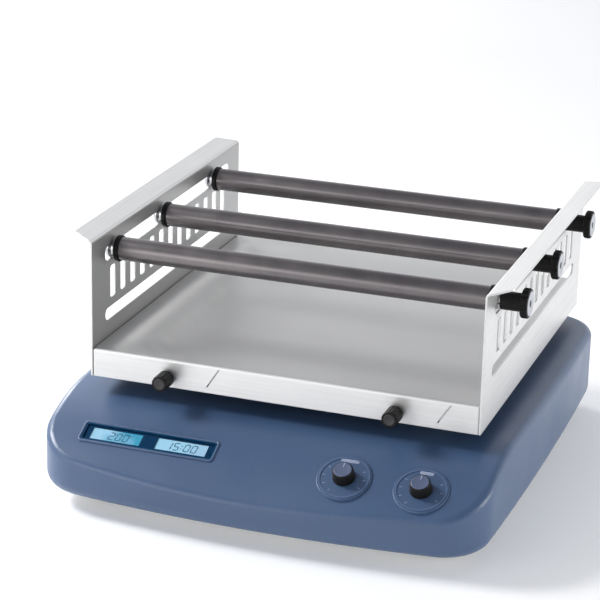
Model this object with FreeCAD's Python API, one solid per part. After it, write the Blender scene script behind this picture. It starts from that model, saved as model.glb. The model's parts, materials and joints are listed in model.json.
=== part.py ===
import FreeCAD, Part
import math
import os
from FreeCAD import Vector as V, Placement, Rotation

# Benchtop orbital shaker with a bar-clamp tray. Millimetres, +Z up, +Y to the rear, -Y is the operator's side.
# The origin is on the bench, under the middle of the base.

os.makedirs("parts", exist_ok=True)

# ---------------------------------------------------------------- driving dimensions
BASE_HALF_W = 189.3       # half width of the housing at its widest
BASE_FRONT = -210.0       # front and rear ends of the housing
BASE_REAR = 210.0
SIDE_R = 4850.0           # radius of the slightly bowed sides in plan
FRONT_R = 1165.0          # radius of the bowed front in plan
REAR_R = 6000.0           # radius of the nearly flat rear in plan
CORNER_R = 41.0           # plan radius of the housing's corners
BASE_TOP = 79.3           # flat top of the housing
SKIRT_BOTTOM = 12.4       # lower edge of the housing
WALL = 3.0                # housing wall
TOP_FILLET = 7.0
BOTTOM_FILLET = 14.0
PANEL_R = 172.8           # radius of the convex control panel, seen from the side
PANEL_YC = -99.4          # where the flat top runs into the panel

TRAY_W = 330.0            # over the side walls
TRAY_D = 330.0
TRAY_FRONT = -128.5       # front face of the tray's apron
APRON_BOTTOM = 91.8
FLOOR_TOP = 115.7
WALL_TOP = 206.8          # where the side walls fold outward, on their inner face
SHEET = 1.5               # tray sheet
WALL_SHEET = 1.5          # side wall sheet
FLANGE = 18.0             # reach of the flange beyond the side wall
FLANGE_RISE = 4.2         # how much it climbs on the way out
FLANGE_CUT = 10.0         # its ends are cut back by this much at the tip
BAR_Z = 188.9             # clamping bar axis height
BAR_Y = (43.9, 145.0, 262.8)   # bar positions behind the tray's front
ROD_R = 4.0
STUD_R = 3.0
HEAD_R, HEAD_T = 8.5, 2.6 # low round head at the rod's left end
SLEEVE_R = 9.75
SLEEVE_HALF = 156.15      # half length of the sleeve
COLLAR_R = 11.0
COLLAR_L = 4.0
SPACER_R = 7.2            # between the collar and the side wall
SCREW_X, SCREW_Z = 96.6, 100.8         # thumb screws on the apron
SLIT_DX, SLIT_Z, SLIT_L, SLIT_W, SLIT_TILT = 39.0, 104.9, 19.4, 1.2, 33.0   # slanted slit beside each thumb screw
BAR_SLOT = (187.4, 12.4)  # upper long slot: centre height and width
LOW_SLOT = (134.9, 10.2)  # lower long slot
SLOT_END = 26.0           # slot ends, from the tray's front and rear
RIB_SLOT_Z = (147.4, 175.0)
RIB_SLOT_W = 10.0
RIB_SLOTS = 13
RIB_FIRST = 41.3

ORBIT = 5.0               # crank eccentricity, half of the 10 mm orbit
DRIVE = (0.0, 31.5)       # main spindle axis; its pin stands ORBIT further back
IDLERS = {"left": (-105.0, -66.0), "right": (105.0, -66.0), "rear": (0.0, 142.0)}
PIN_R = 6.0
IDLER_PIN_R = 4.0
PIN_TOP = 101.0
MOTOR = (-104.0, 96.0)
PULLEY_Z = (51.0, 61.0)
DRIVEN_R = 48.0
MOTOR_PULLEY_R = 16.0
BELT_T = 1.6

DISPLAY_X = -94.5         # centre of the display on the panel
DISPLAY_ANGLE = 25.5      # panel slope there, degrees
DISPLAY_W, DISPLAY_H = 112.6, 18.0
WINDOW_X = (-28.2, 28.2)  # the two windows, from the display's centre
WINDOW_W, WINDOW_H = 43.2, 12.1
KNOB_X = (71.5, 133.5)
KNOB_ANGLE = 27.2
KNOB_R = 9.0
KNOB_H = 9.0
DIAL_R = 22.0

PLATE_Z = (10.2, 12.4)    # base plate
FEET = ((-142.0, -150.0), (142.0, -150.0), (-142.0, 165.0), (142.0, 165.0))
POCKET = (44.0, 152.0, 24.0, 61.0)     # rear recess for the mains fittings: x, x, z, z
POCKET_FLOOR = 201.0
INLET_X, INLET_Z = 119.0, 42.5
SWITCH_X, SWITCH_Z = 66.0, 42.5

made = []


def save(name, shape):
    if isinstance(shape, (list, tuple)):
        solids = [s for x in shape for s in x.Solids]
        shape = Part.makeCompound(solids) if len(solids) > 1 else solids[0]
    elif len(shape.Solids) == 1:
        shape = shape.Solids[0]
    for s in shape.Solids:
        if not s.isValid() or s.Volume <= 0:
            print("BAD SOLID in", name, s.isValid(), s.Volume)
    shape.exportStep("parts/%s.step" % name)
    bb = shape.BoundBox
    made.append(name)
    print("%-28s solids %2d  vol %10.1f  x %.1f..%.1f y %.1f..%.1f z %.1f..%.1f" % (
        name, len(shape.Solids), shape.Volume, bb.XMin, bb.XMax, bb.YMin, bb.YMax, bb.ZMin, bb.ZMax))
    return shape


def box(x0, x1, y0, y1, z0, z1):
    return Part.makeBox(x1 - x0, y1 - y0, z1 - z0, V(x0, y0, z0))


def cyl(x, y, z0, z1, r):
    return Part.makeCylinder(r, z1 - z0, V(x, y, z0), V(0, 0, 1))


def cylx(x0, x1, y, z, r):
    return Part.makeCylinder(r, x1 - x0, V(x0, y, z), V(1, 0, 0))


def cyly(x, y0, y1, z, r):
    return Part.makeCylinder(r, y1 - y0, V(x, y0, z), V(0, 1, 0))


def ring(x, y, z0, z1, ro, ri):
    return cyl(x, y, z0, z1, ro).cut(cyl(x, y, z0 - 1, z1 + 1, ri))


def fuse(shapes, tidy=True):
    out = shapes[0]
    if len(shapes) > 1:
        out = out.fuse(list(shapes[1:]))
        if tidy:
            out = out.removeSplitter()
    return out


def rounded_box(x0, x1, y0, y1, z0, z1, r, axis="z"):
    b = box(x0, x1, y0, y1, z0, z1)
    pick = []
    for e in b.Edges:
        d = e.Vertexes[1].Point - e.Vertexes[0].Point
        if abs({"x": d.x, "y": d.y, "z": d.z}[axis]) > 0.9 * d.Length:
            pick.append(e)
    return b.makeFillet(r, pick)


def local(shape, x, angle, r=PANEL_R):
    """A shape drawn flat, with +Y up the slope and +Z out of the panel, laid on the panel at x and a slope angle."""
    a = math.radians(angle)
    s = shape.copy()
    s.Placement = Placement(V(x, PANEL_YC - r * math.sin(a), BASE_TOP - PANEL_R + r * math.cos(a)),
                            Rotation(V(1, 0, 0), angle)).multiply(s.Placement)
    return s


# ---------------------------------------------------------------- housing outline in plan
cs = V(BASE_HALF_W - SIDE_R, 0, 0)
cf = V(0, BASE_FRONT + FRONT_R, 0)
cr = V(0, BASE_REAR - REAR_R, 0)


def corner_centre(c_end, r_end, sign):
    """Centre of the corner arc that is tangent to the right side and to the front (sign -1) or rear (sign 1) arc."""
    r1, r2 = SIDE_R - CORNER_R, r_end - CORNER_R
    d = c_end - cs
    L = d.Length
    a = (r1 * r1 - r2 * r2 + L * L) / (2 * L)
    h = math.sqrt(r1 * r1 - a * a)
    u = V(d.x / L, d.y / L, 0)
    for s in (1, -1):
        p = cs + u * a + V(-u.y, u.x, 0) * h * s
        if p.x > 0 and p.y * sign > 0:
            return p


ENDS = ((cf, FRONT_R, corner_centre(cf, FRONT_R, -1)), (cr, REAR_R, corner_centre(cr, REAR_R, 1)))


def outline(d, z):
    """Closed plan outline of the housing, moved in by d, at height z, in short tangent arcs."""
    ends = []
    for c_end, r_end, corner in ENDS:
        us, ue = (corner - cs).normalize(), (corner - c_end).normalize()
        ends.append((cs + us * (SIDE_R - d), c_end + ue * (r_end - d)))
    (fs, fe), (bs, be) = ends

    def q(p, sx=1):
        return V(p.x * sx, p.y, z)

    spans = [
        (cf, q(fe, -1), q(fe), 12), (ENDS[0][2], q(fe), q(fs), 3), (cs, q(fs), q(bs), 10), (ENDS[1][2], q(bs), q(be), 3),
        (cr, q(be), q(be, -1), 8), (q(ENDS[1][2], -1), q(be, -1), q(bs, -1), 3), (q(cs, -1), q(bs, -1), q(fs, -1), 10),
        (q(ENDS[0][2], -1), q(fs, -1), q(fe, -1), 3)]
    edges = []
    for c, p0, p1, n in spans:
        r = math.hypot(p0.x - c.x, p0.y - c.y)
        a0, a1 = math.atan2(p0.y - c.y, p0.x - c.x), math.atan2(p1.y - c.y, p1.x - c.x)
        da = (a1 - a0 + math.pi) % (2 * math.pi) - math.pi
        pts = [V(c.x + r * math.cos(a0 + da * i / (2 * n)), c.y + r * math.sin(a0 + da * i / (2 * n)), z) for i in range(2 * n + 1)]
        pts[0], pts[-1] = p0, p1
        edges += [Part.Arc(pts[2 * i], pts[2 * i + 1], pts[2 * i + 2]).toShape() for i in range(n)]
    return Part.Wire(edges)


def prism(d, z0, z1):
    return Part.Face(outline(d, z0)).extrude(V(0, 0, z1 - z0))


def profile(drop):
    """Side profile under the flat top and the convex panel, lowered by drop, as a wide extrusion along X."""
    r = PANEL_R - drop
    zc = BASE_TOP - PANEL_R
    y_end = -225.0
    a_end = math.asin((PANEL_YC - y_end) / r)
    a_mid = a_end / 2
    top = V(-260, PANEL_YC, zc + r)
    mid = V(-260, PANEL_YC - r * math.sin(a_mid), zc + r * math.cos(a_mid))
    end = V(-260, y_end, zc + r * math.cos(a_end))
    edges = [
        Part.LineSegment(V(-260, 260, -20), V(-260, 260, zc + r)).toShape(),
        Part.LineSegment(V(-260, 260, zc + r), top).toShape(),
        Part.Arc(top, mid, end).toShape(),
        Part.LineSegment(end, V(-260, y_end, -20)).toShape(),
        Part.LineSegment(V(-260, y_end, -20), V(-260, 260, -20)).toShape(),
    ]
    return Part.Face(Part.Wire(edges)).extrude(V(520, 0, 0))


def rim_edges(s, bottom):
    out = []
    for e in s.Edges:
        if bottom and e.BoundBox.ZMax < s.BoundBox.ZMin + 0.01:
            out.append(e)
    return out


def top_edges(s, drop):
    """The edges where the top and the panel meet the skirt."""
    zc, r = BASE_TOP - PANEL_R, PANEL_R - drop
    out = []
    for e in s.Edges:
        pts = [e.valueAt(e.FirstParameter + (e.LastParameter - e.FirstParameter) * t) for t in (0.0, 0.3, 0.7, 1.0)]
        on = all((abs(p.z - (zc + r)) < 1e-3 and p.y > PANEL_YC - 1e-3) or
                 (p.y < PANEL_YC + 1e-3 and abs(math.hypot(p.y - PANEL_YC, p.z - zc) - r) < 1e-3) for p in pts)
        flat_line = abs(pts[0].y - PANEL_YC) < 1e-3 and abs(pts[-1].y - PANEL_YC) < 1e-3
        if on and not flat_line:
            out.append(e)
    return out


def body(d, z0, drop, r_top, r_bottom):
    s = prism(d, z0, BASE_TOP + 6).common(profile(drop)).Solids[0]
    try:
        s = s.makeFillet(r_top, top_edges(s, drop))
    except Exception as why:
        print("top fillet failed", why)
    try:
        s = s.makeFillet(r_bottom, rim_edges(s, True))
    except Exception as why:
        print("bottom fillet failed", why)
    return s


outer = body(0.0, SKIRT_BOTTOM, 0.0, TOP_FILLET, BOTTOM_FILLET)
inner = body(WALL, SKIRT_BOTTOM + WALL, WALL, TOP_FILLET - WALL, BOTTOM_FILLET - WALL)
print("outer", outer.isValid(), outer.Volume, "inner", inner.isValid(), inner.Volume)

# upper housing: moulded shell with an inward rim below, screw bosses, drive openings and a rear recess
RIM_IN = 21.0
shell = outer.cut(inner)
mouth = Part.Face(outline(RIM_IN, SKIRT_BOTTOM - 5)).extrude(V(0, 0, WALL + 8))
shell = shell.cut(mouth)

BOSSES = [(-165.0, -95.0), (165.0, -95.0), (-166.0, 60.0), (166.0, 60.0), (-120.0, 184.0), (20.0, 184.0), (0.0, -184.0)]
boss_shapes = [cyl(x, y, SKIRT_BOTTOM, BASE_TOP - 1, 5.0).common(outer) for x, y in BOSSES]
pocket_block = box(POCKET[0] - WALL, POCKET[1] + WALL, POCKET_FLOOR - WALL, BASE_REAR, POCKET[2] - WALL, POCKET[3] + WALL).common(outer)
dial_pads = [local(cyl(0, 0, -3.2, 1.1, DIAL_R), x, KNOB_ANGLE) for x in KNOB_X]
dial_pads = [p.makeFillet(0.8, [e for e in p.Edges if e.Curve.TypeId == "Part::GeomCircle" and
             (e.Curve.Center - local(Part.Vertex(V(0, 0, 1.1)), x, KNOB_ANGLE).Point).Length < 0.01])
             for p, x in zip(dial_pads, KNOB_X)]
collars = [ring(DRIVE[0], DRIVE[1], BASE_TOP - 1, BASE_TOP + 3, 18.0, 15.0)]
collars += [ring(x, y, BASE_TOP - 1, BASE_TOP + 3, 15.0, 12.5) for x, y in IDLERS.values()]
shell = fuse([shell] + boss_shapes + [pocket_block] + dial_pads + collars, False)
cuts = [cyl(DRIVE[0], DRIVE[1], BASE_TOP - 8, BASE_TOP + 6, 15.0)]
cuts += [cyl(x, y, BASE_TOP - 8, BASE_TOP + 6, 12.5) for x, y in IDLERS.values()]
cuts += [cyl(x, y, SKIRT_BOTTOM - 1, SKIRT_BOTTOM + 13, 1.55) for x, y in BOSSES]
cuts += [rounded_box(POCKET[0], POCKET[1], POCKET_FLOOR, BASE_REAR + 5, POCKET[2], POCKET[3], 4.0, "y")]
cuts += [box(INLET_X - 14, INLET_X + 14, POCKET_FLOOR - 8, POCKET_FLOOR + 1, INLET_Z - 13, INLET_Z + 14)]
cuts += [box(SWITCH_X - 11, SWITCH_X + 11, POCKET_FLOOR - 8, POCKET_FLOOR + 1, SWITCH_Z - 14, SWITCH_Z + 14)]
cuts += [local(rounded_box(-DISPLAY_W / 2 - 0.2, DISPLAY_W / 2 + 0.2, -DISPLAY_H / 2 - 0.2, DISPLAY_H / 2 + 0.2, -9, 4, 1.7), DISPLAY_X, DISPLAY_ANGLE)]
cuts += [local(cyl(0, 0, -9, 6, 3.6), x, KNOB_ANGLE) for x in KNOB_X]
shell = shell.cut(Part.makeCompound(cuts))
save("upper_housing", shell)

# base plate with cooling slots
plate = Part.Face(outline(15.5, PLATE_Z[0])).extrude(V(0, 0, PLATE_Z[1] - PLATE_Z[0]))
holes = [cyl(x, y, 5, 20, 1.8) for x, y in BOSSES] + [cyl(x, y, 5, 20, 2.3) for x, y in FEET]
for i in range(7):
    for x0 in (-150.0, 96.0):
        holes.append(rounded_box(x0 + 4, x0 + 50, 20.0 + 9 * i, 23.5 + 9 * i, 5, 20, 1.7))
plate = plate.cut(Part.makeCompound(holes))
save("base_plate", plate)

# feet and the screws under the base
feet, screws = [], []
for x, y in FEET:
    f = Part.makeCone(15.0, 16.5, PLATE_Z[0], V(x, y, 0), V(0, 0, 1))
    f = f.makeFillet(1.2, [e for e in f.Edges if e.BoundBox.ZMax < 0.01])
    f = f.cut(cyl(x, y, -1, 3.0, 6.5)).cut(cyl(x, y, 1, 12, 2.3))
    feet.append(f)
    screws.append(fuse([cyl(x, y, 3.0, 5.4, 4.2), cyl(x, y, 5.0, 15.4, 2.0)]).cut(box(x - 3, x + 3, y - 0.5, y + 0.5, 2.5, 4.0)))
    screws.append(ring(x, y, 12.4, 15.0, 4.0, 2.0))
feet = [f.cut(cyl(x, y, 3.0, 5.4, 4.3)) for f, (x, y) in zip(feet, FEET)]
save("rubber_feet", feet)
for x, y in BOSSES:
    s = fuse([cyl(x, y, 8.4, PLATE_Z[0], 3.2), cyl(x, y, 9.5, 23.5, 1.5)])
    screws.append(s.cut(box(x - 2.4, x + 2.4, y - 0.4, y + 0.4, 8.0, 9.3)))
save("base_screws", screws)

# ---------------------------------------------------------------- drive
dx, dy = DRIVE
bh = fuse([cyl(dx, dy, 12.4, 18.4, 40.0), cyl(dx, dy, 12.4, 46.0, 20.0)] +
          [box(dx - 2, dx + 2, dy - 36, dy + 36, 18.0, 30.0).cut(box(dx - 3, dx + 3, dy - 50, dy - 37, 17, 31)),
           box(dx - 36, dx + 36, dy - 2, dy + 2, 18.0, 30.0)])
bh = bh.cut(cyl(dx, dy, 18.0, 26.0, 14.0)).cut(cyl(dx, dy, 38.0, 47.0, 14.0)).cut(cyl(dx, dy, 15.0, 47.0, 12.5))
bolt_circle = [(dx + 32 * math.cos(math.radians(a)), dy + 32 * math.sin(math.radians(a))) for a in (45, 135, 225, 315)]
bh = bh.cut(Part.makeCompound([cyl(x, y, 10, 20, 2.6) for x, y in bolt_circle]))
save("drive_bearing_housing", bh)
save("drive_bearing_outer_rings", [ring(dx, dy, 18.0, 26.0, 14.0, 8.7), ring(dx, dy, 38.0, 46.0, 14.0, 8.7)])
save("drive_bearing_inner_rings", [ring(dx, dy, 18.2, 25.8, 8.62, 6.0), ring(dx, dy, 38.2, 45.8, 8.62, 6.0)])
shaft = fuse([cyl(dx, dy, 15.5, 66.0, 6.0), cyl(dx, dy, 25.8, 38.2, 7.4)])
save("drive_shaft", shaft)
pz0, pz1 = PULLEY_Z
pulley = fuse([ring(dx, dy, 48.0, 62.5, 13.0, 6.0), ring(dx, dy, 54.0, 58.5, 46.0, 12.0), ring(dx, dy, pz0, pz1, DRIVEN_R, 43.0),
               ring(dx, dy, pz0 - 1.2, pz0, DRIVEN_R + 2.4, 43.0), ring(dx, dy, pz1, pz1 + 1.2, DRIVEN_R + 2.4, 43.0)])
pulley = pulley.cut(Part.makeCompound([cyl(dx + 28 * math.cos(math.radians(a)), dy + 28 * math.sin(math.radians(a)), 50, 62, 8.5)
                                       for a in range(30, 390, 60)]))
save("driven_pulley", pulley)
head = fuse([cyl(dx, dy, 62.5, 71.0, 20.0), cyl(dx, dy + ORBIT, 71.0, 78.0, 8.0), cyl(dx, dy + ORBIT, 78.0, PIN_TOP, PIN_R)])
head = head.cut(cyl(dx, dy, 62.0, 66.2, 6.0))
save("crank_head", head)
cw = cyl(dx, dy, 62.5, 70.0, 46.0).cut(cyl(dx, dy, 62, 71, 20.2)).common(box(dx - 60, dx + 60, dy - 60, dy - 4, 62.0, 71.0))
cw = cw.cut(Part.makeCompound([cyl(dx + s * 18, dy - 30, 67.0, 72, 3.5) for s in (-1, 1)]))
save("counterweight", cw)

idler_housings, idler_low, idler_up = [], [], []
for name, (x, y) in IDLERS.items():
    h = fuse([cyl(x, y, 12.4, 17.4, 22.0), cyl(x, y, 12.4, 58.0, 14.0)])
    h = h.cut(cyl(x, y, 40.0, 59.0, 11.0)).cut(cyl(x, y, 15.5, 59.0, 6.2))
    h = h.cut(Part.makeCompound([cyl(x + s * 18, y, 10, 20, 1.8) for s in (-1, 1)]))
    idler_housings.append(h)
    idler_low.append(ring(x, y, 44.0, 56.0, 11.0, 5.05))
    idler_low.append(ring(x, y, 40.0, 43.8, 11.0, 5.05))
    crank = fuse([cyl(x, y, 17.0, 60.0, 5.0), cyl(x, y, 60.0, 66.0, 12.0), cyl(x, y + ORBIT, 66.0, PIN_TOP, IDLER_PIN_R)])
    save("idler_crank_" + name, crank)
save("idler_bearing_housings", idler_housings)
save("idler_lower_bearings", idler_low)

# motor, bracket, pulley and belt
mx, my = MOTOR
motor = fuse([cyl(mx, my, 14.4, 45.0, 26.0), cyl(mx, my, 45.0, 47.0, 11.0)])
motor = motor.makeFillet(1.5, [e for e in motor.Edges if abs(e.BoundBox.ZMin - 14.4) < 0.01 and abs(e.BoundBox.ZMax - 14.4) < 0.01])
motor_holes = [(mx + 18 * math.cos(math.radians(a)), my + 18 * math.sin(math.radians(a))) for a in (45, 135, 225, 315)]
motor = motor.cut(Part.makeCompound([cyl(mx, my, 30.0, 48.0, 4.3)] + [cyl(x, y, 39.0, 46.0, 1.65) for x, y in motor_holes]))
save("motor_body", motor)
bracket = fuse([box(mx - 34, mx + 34, my - 30, my + 30, 45.0, 48.0), box(mx - 34, mx - 31, my - 30, my + 30, 12.4, 48.0),
                box(mx + 31, mx + 34, my - 30, my + 30, 12.4, 48.0), box(mx - 42, mx - 31, my - 30, my + 30, 12.4, 15.4),
                box(mx + 31, mx + 42, my - 30, my + 30, 12.4, 15.4)])
bracket = bracket.cut(Part.makeCompound([cyl(mx, my, 44, 50, 11.2)] + [cyl(x, y, 44, 50, 1.7) for x, y in motor_holes]))
save("motor_bracket", bracket)
mp = fuse([cyl(mx, my, 34.0, pz1 + 1.6, 4.0), cyl(mx, my, pz0, pz1, MOTOR_PULLEY_R),
           cyl(mx, my, pz0 - 1.2, pz0, MOTOR_PULLEY_R + 2.4), cyl(mx, my, pz1, pz1 + 1.2, MOTOR_PULLEY_R + 2.4)])
save("motor_pulley", mp)


def belt_face(g, z):
    """Area inside an open belt loop round both pulleys, standing g off their rims."""
    r1, r2 = DRIVEN_R + g, MOTOR_PULLEY_R + g
    c1, c2 = V(dx, dy, z), V(mx, my, z)
    d = c2 - c1
    L = d.Length
    base = math.atan2(d.y, d.x)
    b = math.acos((r1 - r2) / L)

    def on(c, r, a):
        return c + V(math.cos(a) * r, math.sin(a) * r, 0)

    a1, a2 = base + b, base - b
    return Part.Face(Part.Wire([
        Part.LineSegment(on(c1, r1, a1), on(c2, r2, a1)).toShape(),
        Part.Arc(on(c2, r2, a1), on(c2, r2, base), on(c2, r2, a2)).toShape(),
        Part.LineSegment(on(c2, r2, a2), on(c1, r1, a2)).toShape(),
        Part.Arc(on(c1, r1, a2), on(c1, r1, base + math.pi), on(c1, r1, a1)).toShape()]))


belt = belt_face(0.1 + BELT_T, pz0 + 0.6).cut(belt_face(0.1, pz0 + 0.6)).extrude(V(0, 0, pz1 - pz0 - 1.2))
save("drive_belt", belt)

chassis = [fuse([cyl(x, y, 18.4, 22.4, 4.2), cyl(x, y, 12.4, 19.0, 2.5)]) for x, y in bolt_circle]
chassis += [fuse([cyl(x + s * 18, y, 17.4, 20.0, 3.0), cyl(x + s * 18, y, 12.4, 18.0, 1.7)]) for x, y in IDLERS.values() for s in (-1, 1)]
chassis += [fuse([cyl(x, y, 48.0, 49.2, 3.0), cyl(x, y, 40.0, 48.5, 1.6)]) for x, y in motor_holes]
save("chassis_screws", chassis)

# ---------------------------------------------------------------- boards, supply and rear fittings
board = box(-62, 62, -146, -88, 24.0, 25.6)
parts = [board, box(-51, -36, -139, -133, 25.6, 34.0), box(-34, -22, -138, -122, 25.6, 28.4), box(-20, 10, -140, -118, 25.6, 30.0), cyl(30, -130, 25.6, 43.0, 6.0),
         cyl(46, -130, 25.6, 43.0, 6.0), box(-56, -30, -100, -92, 25.6, 34.0), box(-10, 40, -102, -94, 25.6, 38.0)]
board = fuse(parts)
stand = [(-57, -141), (57, -141), (-57, -105), (57, -105)]
board = board.cut(Part.makeCompound([cyl(x, y, 20, 27, 1.7) for x, y in stand]))
save("main_board", board)
save("board_standoffs", [fuse([ring(x, y, 12.4, 24.0, 3.0, 1.2), cyl(x, y, 20.0, 26.0, 1.5), cyl(x, y, 25.6, 27.4, 2.6)]) for x, y in stand])
psu = box(84, 162, 78, 150, 14.0, 50.0)
psu = psu.makeFillet(1.5, [e for e in psu.Edges if e.BoundBox.ZMin > 49.9])
psu = fuse([psu, box(88, 96, 78, 150, 12.4, 14.2), box(150, 158, 78, 150, 12.4, 14.2)])
psu = psu.cut(Part.makeCompound([cyl(94 + 10 * i, 86 + 8 * j, 48.5, 52, 2.2) for i in range(7) for j in range(8)]))
save("power_supply", psu)

ix, iz = INLET_X, INLET_Z
inlet = fuse([rounded_box(ix - 24, ix + 24, POCKET_FLOOR, POCKET_FLOOR + 2.6, iz - 15.5, iz + 16.5, 3.0, "y"),
              box(ix - 13.5, ix + 13.5, POCKET_FLOOR - 24, POCKET_FLOOR + 0.5, iz - 12.5, iz + 13.5)])
socket = rounded_box(ix - 11.5, ix + 11.5, POCKET_FLOOR - 15, POCKET_FLOOR + 4, iz - 10.5, iz + 4.5, 2.5, "y")
inlet = inlet.cut(socket).cut(box(ix - 10.2, ix + 10.2, POCKET_FLOOR - 22.4, POCKET_FLOOR + 4, iz + 6.2, iz + 12.8))
pins = [box(px - 1, px + 1, POCKET_FLOOR - 16, POCKET_FLOOR - 1.0, pz - 2, pz + 2) for px, pz in
        ((ix - 7, iz - 5.5), (ix + 7, iz - 5.5), (ix, iz - 1.0))]
tabs = [box(px - 3.2, px + 3.2, POCKET_FLOOR - 30, POCKET_FLOOR - 23.5, pz - 0.4, pz + 0.4) for px, pz in
        ((ix - 7, iz - 5.5), (ix + 7, iz - 5.5), (ix, iz + 3.0))]
inlet = fuse([inlet] + pins + tabs)
inlet = inlet.cut(Part.makeCompound([Part.makeCone(1.6, 3.2, 1.8, V(ix + s * 20, POCKET_FLOOR + 0.8, iz), V(0, 1, 0)) for s in (-1, 1)] +
                                    [cyly(ix + s * 20, POCKET_FLOOR - 1, POCKET_FLOOR + 1, iz, 1.6) for s in (-1, 1)]))
save("mains_inlet", inlet)
drawer = box(ix - 9.8, ix + 9.8, POCKET_FLOOR - 22.0, POCKET_FLOOR + 3.4, iz + 6.6, iz + 12.4)
drawer = drawer.cut(Part.makeCompound([box(ix - 3, ix + 3, POCKET_FLOOR + 1.6, POCKET_FLOOR + 5, iz + 8.4, iz + 10.6)] +
                                      [cyly(ix + s * 5.0, POCKET_FLOOR - 20.8, POCKET_FLOOR - 0.6, iz + 9.8, 2.6) for s in (-1, 1)] +
                                      [box(ix + s * 5.0 - 2.6, ix + s * 5.0 + 2.6, POCKET_FLOOR - 20.8, POCKET_FLOOR - 0.6, iz + 9.8, iz + 13.0) for s in (-1, 1)]))
fuses = [cyly(ix + s * 5.0, POCKET_FLOOR - 20.8, POCKET_FLOOR - 0.6, iz + 9.8, 2.6) for s in (-1, 1)]
drawer = [drawer] + fuses
save("fuse_drawer", drawer)

sx, sz = SWITCH_X, SWITCH_Z
frame = fuse([rounded_box(sx - 12.5, sx + 12.5, POCKET_FLOOR, POCKET_FLOOR + 2.2, sz - 15.5, sz + 15.5, 1.5, "y"),
              box(sx - 10.8, sx + 10.8, POCKET_FLOOR - 14, POCKET_FLOOR + 0.5, sz - 13.8, sz + 13.8)])
frame = frame.cut(box(sx - 9.2, sx + 9.2, POCKET_FLOOR - 10, POCKET_FLOOR + 5, sz - 12.4, sz + 12.4))
for s in (-1, 1):
    frame = fuse([frame, box(sx + s * 5 - 2.4, sx + s * 5 + 2.4, POCKET_FLOOR - 20, POCKET_FLOOR - 13.5, sz - 0.4, sz + 0.4)])
frame = frame.cut(cylx(sx - 10.4, sx + 10.4, POCKET_FLOOR - 3.0, sz, 1.55))
save("switch_frame", frame)
ry = POCKET_FLOOR - 3.0
w = 8.9
pts = [(-5.0, -3.5), (0.0, -4.6), (5.0, -3.5), (11.4, 4.4), (11.4, 5.8), (0.0, 3.6), (-11.4, 5.8), (-11.4, 4.4)]
poly = Part.makePolygon([V(sx - w, ry + b, sz + a) for a, b in pts + pts[:1]])
rocker = Part.Face(poly).extrude(V(2 * w, 0, 0))
rocker = fuse([rocker, cylx(sx - 10.2, sx + 10.2, ry, sz, 1.5)])
rocker.rotate(V(sx, ry, sz), V(1, 0, 0), -10)
save("power_rocker", rocker)

# ---------------------------------------------------------------- display and control knobs
D = (DISPLAY_X, DISPLAY_ANGLE)
bezel = rounded_box(-DISPLAY_W / 2, DISPLAY_W / 2, -DISPLAY_H / 2, DISPLAY_H / 2, -4.2, -0.9, 1.5)
bezel = bezel.fuse(rounded_box(-DISPLAY_W / 2 - 0.0, DISPLAY_W / 2 + 0.0, -DISPLAY_H / 2, DISPLAY_H / 2, -4.2, 0.3, 1.5).cut(
    rounded_box(-DISPLAY_W / 2 + 1.3, DISPLAY_W / 2 - 1.3, -DISPLAY_H / 2 + 1.3, DISPLAY_H / 2 - 1.3, -5, 2, 1.0))).removeSplitter()
bezel = bezel.cut(Part.makeCompound([box(c - WINDOW_W / 2, c + WINDOW_W / 2, -WINDOW_H / 2, WINDOW_H / 2, -6, 2) for c in WINDOW_X]))
save("display_bezel", local(bezel, *D))
win = rounded_box(-DISPLAY_W / 2 + 1.4, DISPLAY_W / 2 - 1.4, -DISPLAY_H / 2 + 1.4, DISPLAY_H / 2 - 1.4, -0.9, 0.0, 0.9)
save("display_window", local(win, *D))
for name, c in zip(("lcd_left", "lcd_right"), WINDOW_X):
    lcd = fuse([box(c - WINDOW_W / 2, c + WINDOW_W / 2, -WINDOW_H / 2, WINDOW_H / 2, -5.0, -1.6),
                box(c - WINDOW_W / 2 - 2, c + WINDOW_W / 2 + 2, -9.4, 9.4, -7.6, -4.2)])
    save(name, local(lcd, *D))
db = fuse([box(-57, 57, -9.6, 9.6, -9.2, -7.6), box(-44, -34, -6, 6, -12.5, -9.2), box(8, 22, -5, 5, -11.5, -9.2), box(42.5, 56.5, -3, 3, -11.4, -9.2)])
save("display_board", local(db, *D))
rings, encoders = [], []
for name, x in zip(("speed_knob", "time_knob"), KNOB_X):
    rings.append(local(cyl(0, 0, 1.1, 1.6, 20.4).cut(cyl(0, 0, 0, 3, 19.0)), x, KNOB_ANGLE))
    encoders.append(local(fuse([box(-6.5, 6.5, -6.5, 6.5, -11.5, -5.0), cyl(0, 0, -6, 1.0, 3.4), cyl(0, 0, 0.5, 7.0, 3.0)]), x, KNOB_ANGLE))
    k = Part.makeCone(KNOB_R, KNOB_R - 0.9, KNOB_H, V(0, 0, 1.5), V(0, 0, 1))
    k = k.makeFillet(1.1, [e for e in k.Edges if e.BoundBox.ZMin > KNOB_H + 1.4])
    flutes = [cyl((KNOB_R + 1.0) * math.cos(math.radians(a)), (KNOB_R + 1.0) * math.sin(math.radians(a)), 3.2, 16, 1.5) for a in range(0, 360, 20)]
    k = k.cut(Part.makeCompound(flutes + [box(-0.6, 0.6, 3.5, 12, KNOB_H + 0.9, 15), cyl(0, 0, 0, 7.6, 3.06)]))
    save(name, local(k, x, KNOB_ANGLE))
save("dial_rings", rings)
save("knob_encoders", encoders)

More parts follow.
